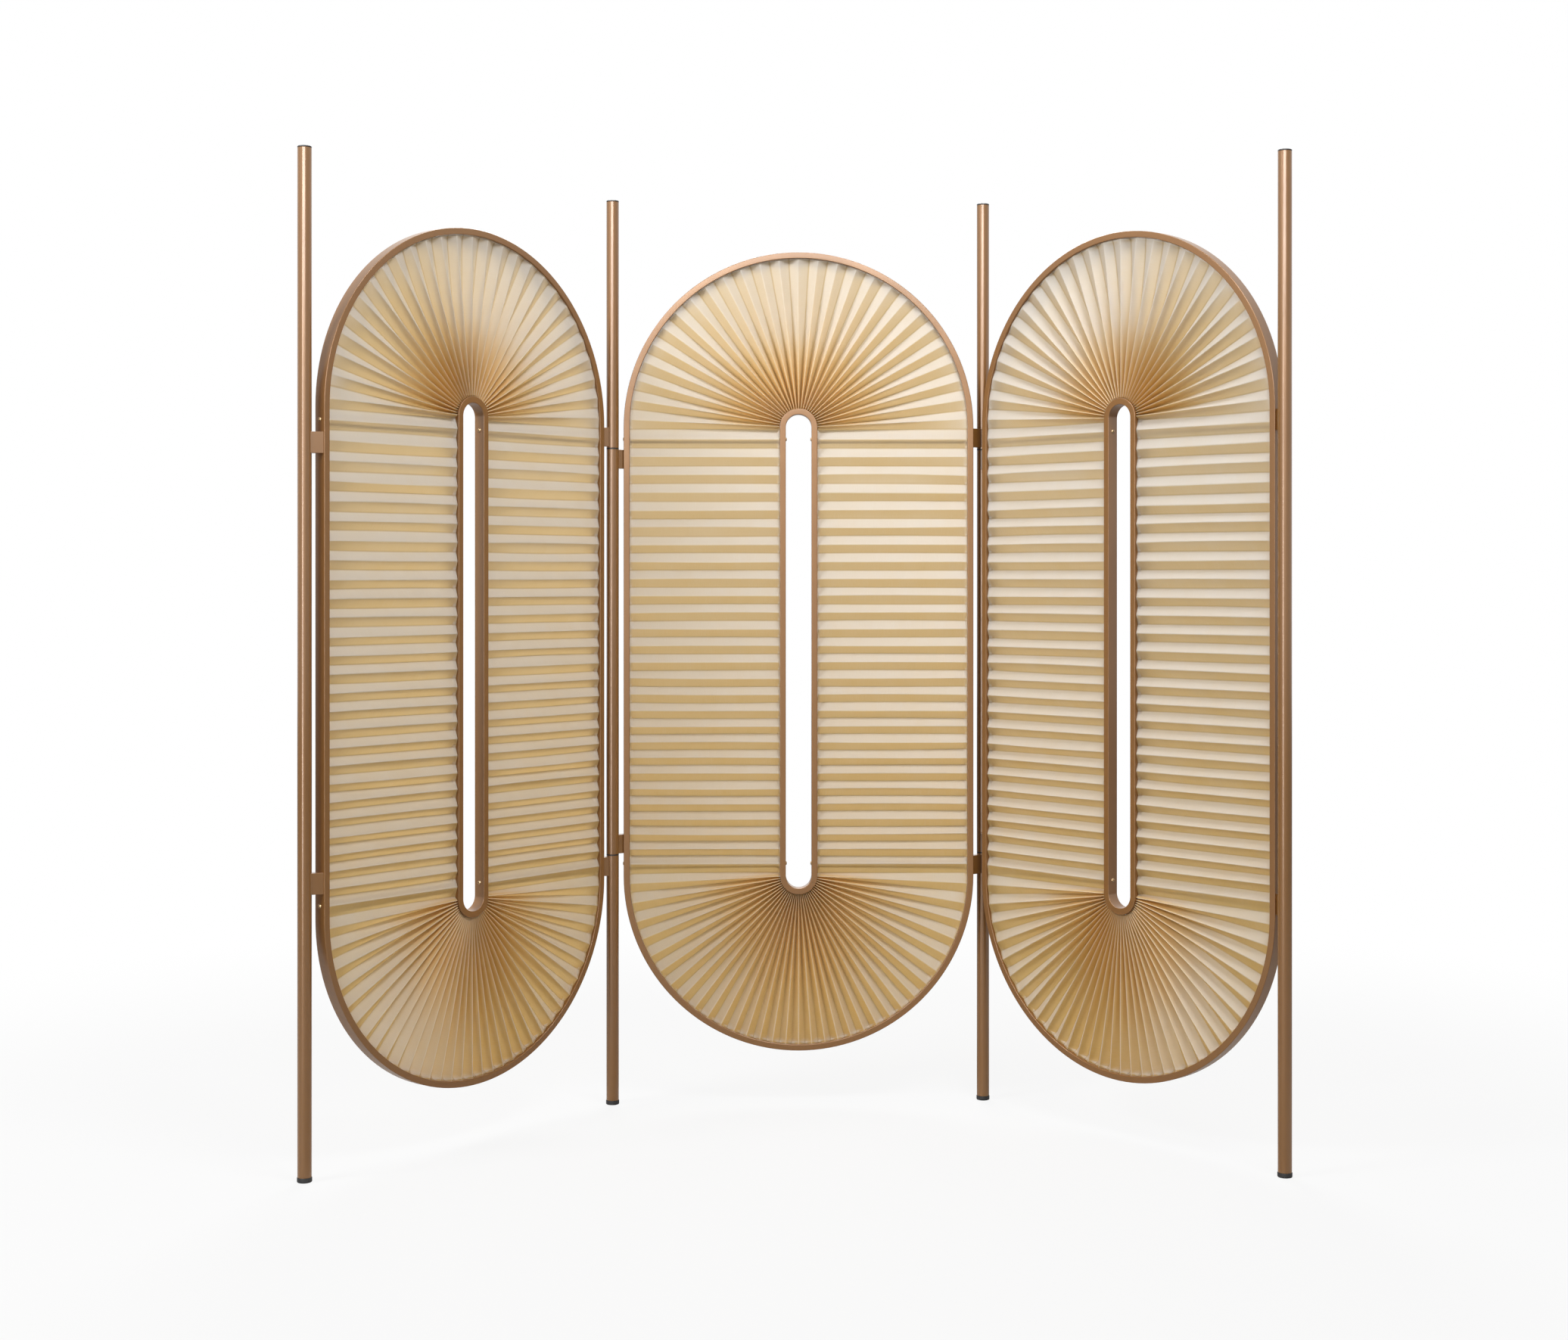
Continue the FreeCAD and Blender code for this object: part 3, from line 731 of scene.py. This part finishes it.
@dataclass
class PleatedCloth:
    """Pleated cloth of one panel, folded round its slot.

    The cloth from fold to fold has the same length everywhere, so the folds stand deeper where
    they crowd together round the slot.
    """

    panel: Panel
    seed: int
    pitch_top: float = 0.040
    pitch_side: float = 0.033
    pitch_bottom: float = 0.033
    depth: float = 0.005
    setback: float = 0.0033
    sag: float = 0.1
    gather: float = 0.2
    thickness: float = 0.0006
    edge_gap: float = 0.0003
    widest_half_pitch: float = 0.0201
    held_width: float = 0.005
    held_share: float = 0.6
    crispness: float = 0.0004
    belly: float = 0.001
    unevenness: tuple[float, float, float] = (0.0009, 0.0007, 0.3)
    crease_angle: float = 24.0
    across: tuple[float, ...] = (0.0, 0.04, 0.35, 0.65, 0.96)
    down: tuple[float, ...] = (0.0, 0.012, 0.024, 0.036, 0.08, 0.16, 0.25, 0.34, 0.43, 0.52, 0.61,
                               0.7, 0.78, 0.85, 0.91, 0.95, 0.974, 0.987, 1.0)
    folds: list[float] = field(default_factory=list)
    wander: list[tuple[float, float, float]] = field(default_factory=list)

    @property
    def outer(self) -> float:
        """Radius of the cloth's outer edge."""
        return self.panel.width / 2 - self.panel.band - self.edge_gap

    @property
    def inner(self) -> float:
        """Radius of the cloth's edge at the slot frame."""
        return self.panel.slot_radius + self.panel.band + self.edge_gap

    @property
    def end_run(self) -> float:
        """Straight stretch between a rod and the start of the half circle."""
        return self.panel.straight / 2 - self.panel.rod_height

    def lay_folds(self) -> None:
        """Place the folds along the cloth's outer edge, from the upper right rod over the top."""
        over = 2 * self.end_run + math.pi * self.outer
        along = 2 * self.panel.rod_height
        stretches = (
            (over, self.pitch_top, lambda q: q),
            (along, self.pitch_side, lambda q: q + self.sag * q * (1 - q)),
            (over, self.pitch_bottom,
             lambda q: q + self.gather * math.sin(2 * math.pi * q) / (2 * math.pi)),
            (along, self.pitch_side, lambda q: q - self.sag * q * (1 - q)),
        )
        chance = random.Random(self.seed)
        start = 0.0
        for length, pitch, spread in stretches:
            halves = 2 * round(length / pitch)
            for half in range(halves):
                self.folds.append(start + length * spread(half / halves))
                loose = 0.0 if half == 0 else 1.0
                self.wander.append(tuple(loose * chance.gauss(0, scale)
                                         for scale in self.unevenness))
            start += length

    def station(self, place: float) -> tuple[float, float, float]:
        """Foot and direction of the line across the cloth at a place along its edge.

        Args:
            place: Length along the outer edge.

        Returns:
            The foot's height on the middle line, and the line's direction across and up.
        """
        half_run = self.panel.straight / 2
        arc = math.pi * self.outer
        place %= 2 * arc + 4 * half_run
        if place <= self.end_run:
            return self.panel.rod_height + place, 1.0, 0.0
        place -= self.end_run
        if place <= arc:
            angle = place / self.outer
            return half_run, math.cos(angle), math.sin(angle)
        place -= arc
        if place <= 2 * half_run:
            return half_run - place, -1.0, 0.0
        place -= 2 * half_run
        if place <= arc:
            angle = math.pi + place / self.outer
            return -half_run, math.cos(angle), math.sin(angle)
        return -half_run + place - arc, 1.0, 0.0

    def spot(self, number: int, radius: float) -> tuple[float, float]:
        """Point of a fold seen from the front.

        Args:
            number: The fold.
            radius: Distance from the slot's middle line.

        Returns:
            The point's place across and up.
        """
        number %= len(self.folds)
        share = (self.outer - radius) / (self.outer - self.inner)
        near, far, _ = self.wander[number]
        drift = near * math.sin(math.pi * share * 0.9) + far * (1 - share)
        foot, across, up = self.station(self.folds[number] + drift)
        return radius * across, foot + radius * up

    def half_pitch(self, number: int, radius: float) -> float:
        """Half the distance between the folds on either side of one."""
        before, after = self.spot(number - 1, radius), self.spot(number + 1, radius)
        return math.hypot(after[0] - before[0], after[1] - before[1]) / 2

    def fold_point(self, number: int, radius: float, slant: float) -> Vector:
        """Point on a fold line.

        Args:
            number: The fold, even in front and odd behind.
            radius: Distance from the slot's middle line.
            slant: Length of the cloth from fold to fold.

        Returns:
            The point about the panel's centre.
        """
        x, z = self.spot(number, radius)
        front = self.setback - self.panel.depth / 2
        if number % 2 == 0:
            return Vector((x, front, z))
        pitch = min(self.half_pitch(number, radius), slant * 0.99)
        depth = math.sqrt(slant ** 2 - pitch ** 2)
        held = max(0.0, 1 - (self.outer - radius) / self.held_width,
                   1 - (radius - self.inner) / self.held_width)
        return Vector((x, front + depth * (1 - self.held_share * held), z))

    def build(self, finishes: Finishes) -> None:
        """Make the cloth.

        Args:
            finishes: The screen's finishes.
        """
        self.lay_folds()
        count = len(self.folds)
        widest = max(self.half_pitch(number, self.outer) for number in range(count))
        slant = math.hypot(min(widest, self.widest_half_pitch), self.depth)
        width = self.outer - self.inner
        columns = count * len(self.across)
        rows = len(self.down) - 1
        mesh = bmesh.new()
        bmesh.ops.create_grid(mesh, x_segments=columns, y_segments=rows, size=0.5)
        flat = mesh.loops.layers.uv.new("flat")
        crest = mesh.verts.layers.float.new("fold")
        gathered = mesh.verts.layers.float.new("gathered")
        for face in mesh.faces:
            for loop in face.loops:
                along = loop.vert.co.x + 0.5
                down = self.down[round((loop.vert.co.y + 0.5) * rows)]
                loop[flat].uv = (along * count * slant, down * width)
        for vert in mesh.verts:
            column = round((vert.co.x + 0.5) * columns)
            share = self.down[round((vert.co.y + 0.5) * rows)]
            radius = self.outer + (self.inner - self.outer) * share
            number, step = divmod(column, len(self.across))
            part = self.across[step]
            here = self.fold_point(number, radius, slant)
            there = self.fold_point(number + 1, radius, slant)
            point = here.lerp(there, part)
            side = 1 if number % 2 == 0 else -1
            if part == 0.0:
                point.y += side * self.crispness
            belly = self.wander[number % count][2] * self.belly * math.sin(math.pi * part)
            point.y += belly * math.sin(math.pi * share)
            vert.co = point
            vert[crest] = side * (1 - 2 * part)
            tight = [self.half_pitch(near, radius) / slant for near in (number, number + 1)]
            vert[gathered] = 1 - (tight[0] + (tight[1] - tight[0]) * part) ** 2
        bmesh.ops.remove_doubles(mesh, verts=mesh.verts, dist=MERGE_DISTANCE)
        node = self.panel.name + "_pleated_fabric"
        piece = finish_piece(mesh, self.panel.name + "_pleated_cloth", self.panel.place(),
                             finishes.cloth, self.panel.body, [node],
                             smooth=self.crease_angle, even=False)
        shell = piece.modifiers.new("thickness", "SOLIDIFY")
        shell.thickness = self.thickness
        shell.offset = 0.0


@dataclass
class Post:
    """Round post or a stretch of one, with what closes its ends."""

    radius: float = 0.0125
    wall: float = 0.0015
    rim: float = 0.0005
    top: float = 1.822
    foot_radius: float = 0.01325

    def tube(self, node: str, body: str, finishes: Finishes) -> None:
        """Make a tube in place of its solid.

        Args:
            node: The solid.
            body: The body that it moves with.
            finishes: The screen's finishes.
        """
        low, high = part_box(node)
        height = high.z - low.z
        bore, rim = self.radius - self.wall, self.rim
        profile = [(bore, 0), (self.radius - rim, 0), (self.radius, rim),
                   (self.radius, height - rim), (self.radius - rim, height), (bore, height)]
        middle = (low + high) / 2
        place = Matrix.Translation((middle.x, middle.y, low.z))
        finish_piece(spun(profile, steps=96), node + "_wall", place, finishes.tube, body, [node])

    def cap(self, x: float, y: float) -> tuple[bmesh.types.BMesh, Matrix]:
        """Make a thin domed cap.

        Args:
            x: The post's place across.
            y: The post's place in depth.

        Returns:
            The mesh and its place.
        """
        r = self.radius
        profile = [(0, -0.012), (r - 0.00155, -0.012), (r - 0.00155, -0.0002), (r - 0.0003, 0),
                   (r, 0.0004), (r, 0.0018), (r - 0.0004, 0.0024), (r - 0.0015, 0.0028),
                   (r * 0.5, 0.003), (0, 0.003)]
        return spun(profile), Matrix.Translation((x, y, self.top))

    def foot(self, x: float, y: float) -> tuple[bmesh.types.BMesh, Matrix]:
        """Make a rounded foot.

        Args:
            x: The post's place across.
            y: The post's place in depth.

        Returns:
            The mesh and its place.
        """
        r = self.foot_radius
        profile = [(0, 0), (r - 0.0016, 0), (r - 0.0007, 0.0003), (r - 0.0001, 0.0012),
                   (r, 0.002), (r, 0.0076), (r - 0.0003, 0.0083), (r - 0.0008, 0.0085),
                   (0.0109, 0.0086), (0.0109, 0.024), (0, 0.024)]
        return spun(profile), Matrix.Translation((x, y, 0))


@dataclass
class Screen:
    """The whole folding screen."""

    finishes: Finishes
    panels: tuple[Panel, ...] = (
        Panel("left", "left_panel", 50.3, -1),
        Panel("centre", "centre_panel", 0.0, 1),
        Panel("right", "right_panel", -48.2, -1),
    )
    post_gap: float = 0.022
    axis_overhang: float = 0.0015
    joint_height: float = 0.410
    washer_bore: float = 0.005
    washer_thickness: float = 0.0023
    washer_rim: float = 0.0003
    washer_sink: float = 0.0012
    bracket_length: float = 0.060
    bracket_width: float = 0.016
    bracket_height: float = 0.038
    bracket_edge: float = 0.0006
    bracket_inside: float = 0.040
    bracket_outside: float = 0.004
    bracket_start: float = 0.0085
    bracket_sink: float = 0.0003

    def axis(self, panel: Panel, side: Side) -> Vector:
        """Place of a post's axis about a panel's centre.

        Args:
            panel: The panel.
            side: Which of its posts.

        Returns:
            The place, at the panel's mid height.
        """
        across = panel.width / 2 + self.post_gap
        deep = panel.depth / 2 + self.axis_overhang
        return Vector((side.value * across, side.value * panel.hand * deep, 0))

    def build_posts(self) -> None:
        """Make tubes, caps and feet."""
        post = Post()
        tubes = {
            "left_panel": ("left_end_post_tube", "left_hinge_upper_tube", "left_hinge_lower_tube"),
            "centre_panel": ("left_hinge_middle_tube", "right_hinge_upper_tube",
                             "right_hinge_lower_tube"),
            "right_panel": ("right_hinge_middle_tube", "right_end_post_tube"),
        }
        for body, nodes in tubes.items():
            for node in nodes:
                post.tube(node, body, self.finishes)
        left, centre, right = self.panels
        ends = ((left, (Side.LEFT, Side.RIGHT), "left_post"),
                (centre, (Side.RIGHT,), "centre_post"), (right, (Side.RIGHT,), "right_post"))
        for panel, sides, label in ends:
            spots = [panel.place() @ self.axis(panel, side) for side in sides]
            finish_piece(joined([post.cap(spot.x, spot.y) for spot in spots]), label + "_lids",
                         Matrix.Identity(4), self.finishes.cap, panel.body, [label + "_caps"])
            finish_piece(joined([post.foot(spot.x, spot.y) for spot in spots]), label + "_pads",
                         Matrix.Identity(4), self.finishes.foot, panel.body, [label + "_feet"])

    def build_washers(self) -> None:
        """Make the washers between the tubes of the hinge posts."""
        bore, r, rim, top = self.washer_bore, Post.radius, self.washer_rim, self.washer_thickness
        profile = [(bore, 0), (r - rim, 0), (r, rim), (r, top - rim), (r - rim, top), (bore, top)]
        bottom = self.joint_height - self.washer_sink
        centre, right = self.panels[1:]
        for name, panel in (("left_hinge", centre), ("right_hinge", right)):
            rings = []
            for level in Level:
                z = bottom if level is Level.UPPER else -bottom - top
                place = Matrix.Translation(self.axis(panel, Side.LEFT) + Vector((0, 0, z)))
                rings.append((spun(profile), place))
            finish_piece(joined(rings), name + "_washer_rings", panel.place(),
                         self.finishes.washer, panel.body, [name + "_washers"])

    def bracket(self, panel: Panel, side: Side, level: Level) -> tuple[bmesh.types.BMesh, Matrix]:
        """Make a block from a post to the middle of the frame's side.

        Args:
            panel: The panel that it holds.
            side: Which side of the panel.
            level: At which height.

        Returns:
            The mesh and its place about the panel's centre.
        """
        axis = self.axis(panel, side)
        near = self.joint_height
        near += -self.bracket_inside if side is Side.LEFT else self.bracket_outside
        z = near if level is Level.UPPER else -near - self.bracket_height
        heading = math.atan2(-axis.y, -side.value * self.post_gap)
        ahead = Vector((math.cos(heading), math.sin(heading), 0))
        mesh = bmesh.new()
        bmesh.ops.create_cube(mesh, size=1.0)
        bmesh.ops.scale(mesh, vec=(self.bracket_length, self.bracket_width, self.bracket_height),
                        verts=mesh.verts)
        bmesh.ops.translate(mesh, vec=(self.bracket_length / 2, 0, z + self.bracket_height / 2),
                            verts=mesh.verts)
        bmesh.ops.bevel(mesh, geom=list(mesh.edges), offset=self.bracket_edge, segments=2,
                        profile=0.5, affect="EDGES", material=-1)
        turn = Matrix.Translation(axis) @ Matrix.Rotation(heading, 4, "Z")
        bmesh.ops.transform(mesh, matrix=turn, verts=mesh.verts)
        edge = side.value * panel.width / 2 - side.value * self.bracket_sink
        cuts = ((Vector((edge, 0, 0)), Vector((-side.value, 0, 0))),
                (axis + ahead * self.bracket_start, -ahead))
        for point, normal in cuts:
            cut = bmesh.ops.bisect_plane(mesh, geom=list(mesh.verts) + list(mesh.edges)
                                         + list(mesh.faces), plane_co=point, plane_no=normal,
                                         clear_outer=True)
            rim = [item for item in cut["geom_cut"] if isinstance(item, bmesh.types.BMEdge)]
            bmesh.ops.edgeloop_fill(mesh, edges=rim)
        return mesh, Matrix.Identity(4)

    def build_brackets(self) -> None:
        """Make the brackets between posts and frames."""
        left, centre, right = self.panels
        sets = ((left, Side.LEFT, "left_end_brackets"),
                (left, Side.RIGHT, "left_hinge_outer_brackets"),
                (centre, Side.LEFT, "left_hinge_inner_brackets"),
                (centre, Side.RIGHT, "right_hinge_outer_brackets"),
                (right, Side.LEFT, "right_hinge_inner_brackets"),
                (right, Side.RIGHT, "right_end_brackets"))
        for panel, side, node in sets:
            blocks = [self.bracket(panel, side, level) for level in Level]
            finish_piece(joined(blocks), node + "_blocks", panel.place(), self.finishes.tube,
                         panel.body, [node])

    def dress_hidden(self, nodes: dict[str, bpy.types.Object]) -> None:
        """Give the hinge's inner pieces their finishes.

        Args:
            nodes: The solids by name.
        """
        for name, solid in nodes.items():
            if name.endswith("_bushes"):
                chosen = self.finishes.bush
            elif name.endswith(("_pins", "_sockets")):
                chosen = self.finishes.steel
            else:
                continue
            solid.data.materials.clear()
            solid.data.materials.append(chosen)

    def build(self, nodes: dict[str, bpy.types.Object]) -> None:
        """Build every piece of the screen.

        Args:
            nodes: The solids by name.
        """
        for number, panel in enumerate(self.panels):
            panel.build_frames(self.finishes)
            panel.build_rods(self.finishes)
            panel.build_screws(self.finishes)
            PleatedCloth(panel, seed=11 + number).build(self.finishes)
        self.build_posts()
        self.build_washers()
        self.build_brackets()
        self.dress_hidden(nodes)


@dataclass(frozen=True)
class Lamp:
    """Soft rectangular lamp."""

    name: str
    place: tuple[float, float, float]
    size: tuple[float, float]
    power: float
    target: tuple[float, float, float] = (0, 0, 0.95)
    gloss_only: bool = False

    def hang(self) -> None:
        """Add the lamp to the scene."""
        data = bpy.data.lights.new(self.name, "AREA")
        data.shape = "RECTANGLE"
        data.size, data.size_y = self.size
        data.energy = self.power
        lamp = bpy.data.objects.new(self.name, data)
        lamp.location = self.place
        lamp.visible_diffuse = not self.gloss_only
        facing = Vector(self.target) - Vector(self.place)
        lamp.rotation_euler = facing.to_track_quat("-Z", "Y").to_euler()
        bpy.context.scene.collection.objects.link(lamp)


@dataclass
class Studio:
    """Floor, backdrop light, lamps and camera."""

    camera_place: tuple[float, float, float] = (-0.0528, -4.1587, 1.0719)
    camera_turn: float = -0.76
    lens: float = 50.22
    shift: tuple[float, float] = (-0.0076, -0.0616)
    ambient: float = 0.2
    floor_radius: float = 14.0
    floor_tone: float = 0.55
    floor_fade: tuple[float, float] = (1.2, 2.8)
    lamps: tuple[Lamp, ...] = (
        Lamp("key", (-3.3, -1.9, 3.8), (1.3, 1.3), 138.0, (0, 0, 1.5)),
        Lamp("top", (1.05, -1.9, 4.3), (1.5, 1.2), 97.0, (0, 0, 1.3)),
        Lamp("back", (-0.2, 3.0, 4.0), (1.8, 1.6), 118.0),
        Lamp("strip", (-1.9, -3.5, 1.2), (0.6, 2.8), 60.0, gloss_only=True),
        Lamp("card", (-0.6, -5.4, 3.0), (3.6, 1.4), 190.0, (0, 0, 1.5), gloss_only=True),
    )

    def build_camera(self) -> None:
        """Set up the camera at the photographed view."""
        data = bpy.data.cameras.new("camera")
        data.lens = self.lens
        data.sensor_width = 36.0
        data.sensor_fit = "HORIZONTAL"
        data.shift_x, data.shift_y = self.shift
        camera = bpy.data.objects.new("camera", data)
        camera.location = self.camera_place
        camera.rotation_euler = (math.radians(90), 0, math.radians(self.camera_turn))
        bpy.context.scene.collection.objects.link(camera)
        bpy.context.scene.camera = camera

    def build_world(self) -> None:
        """White surroundings with a softer light of their own."""
        world = bpy.data.worlds.new("studio")
        world.use_nodes = True
        world.node_tree.nodes.clear()
        nodes = NodeTree(world.node_tree)
        path = nodes.add("LightPath")
        seen = nodes.math("MAXIMUM", path.outputs["Is Camera Ray"],
                          path.outputs["Is Glossy Ray"])
        sharp = nodes.math("SUBTRACT", path.outputs["Is Transmission Ray"],
                           path.outputs["Is Diffuse Ray"])
        seen = nodes.math("MAXIMUM", seen, sharp)
        strength = nodes.math("ADD", self.ambient,
                              nodes.math("MULTIPLY", seen, 1 - self.ambient))
        light = nodes.add("Background", Color=(1, 1, 1, 1), Strength=strength)
        nodes.add("OutputWorld", Surface=light.outputs[0])
        bpy.context.scene.world = world

    def build_floor(self) -> None:
        """Plain white floor that keeps a faint shadow."""
        mesh = bmesh.new()
        bmesh.ops.create_circle(mesh, cap_ends=True, radius=self.floor_radius, segments=96)
        data = bpy.data.meshes.new("floor")
        mesh.to_mesh(data)
        mesh.free()
        floor = bpy.data.objects.new("floor", data)
        bpy.context.scene.collection.objects.link(floor)
        material = bpy.data.materials.new("pale_floor")
        material.use_nodes = True
        material.node_tree.nodes.clear()
        nodes = NodeTree(material.node_tree)
        path = nodes.add("LightPath")
        matt = nodes.add("BsdfDiffuse", Color=(*[self.floor_tone] * 3, 1))
        glow = nodes.add("Emission", Color=(1, 1, 1, 1), Strength=1.0)
        away = nodes.add("VectorMath", {"operation": "LENGTH"})
        nodes.set(away, 0, nodes.add("TexCoord").outputs["Object"])
        fade = nodes.ramp(away.outputs["Value"], *self.floor_fade, 0.88, 1.0)
        seen = nodes.math("MULTIPLY", path.outputs["Is Camera Ray"], fade)
        nodes.add("OutputMaterial", Surface=nodes.blend(seen, matt, glow).outputs[0])
        data.materials.append(material)

    def build(self) -> None:
        """Set up the whole studio."""
        self.build_camera()
        self.build_world()
        self.build_floor()
        for lamp in self.lamps:
            lamp.hang()
        bpy.context.scene.view_settings.view_transform = "Standard"


def main() -> None:
    """Build the screen and its studio, in order."""
    logging.basicConfig(level=logging.INFO, format="%(name)s: %(message)s")
    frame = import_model()
    screen = Screen(Finishes.build())
    screen.build(frame["nodes"])
    Studio().build()


if __name__ == "__main__":
    main()
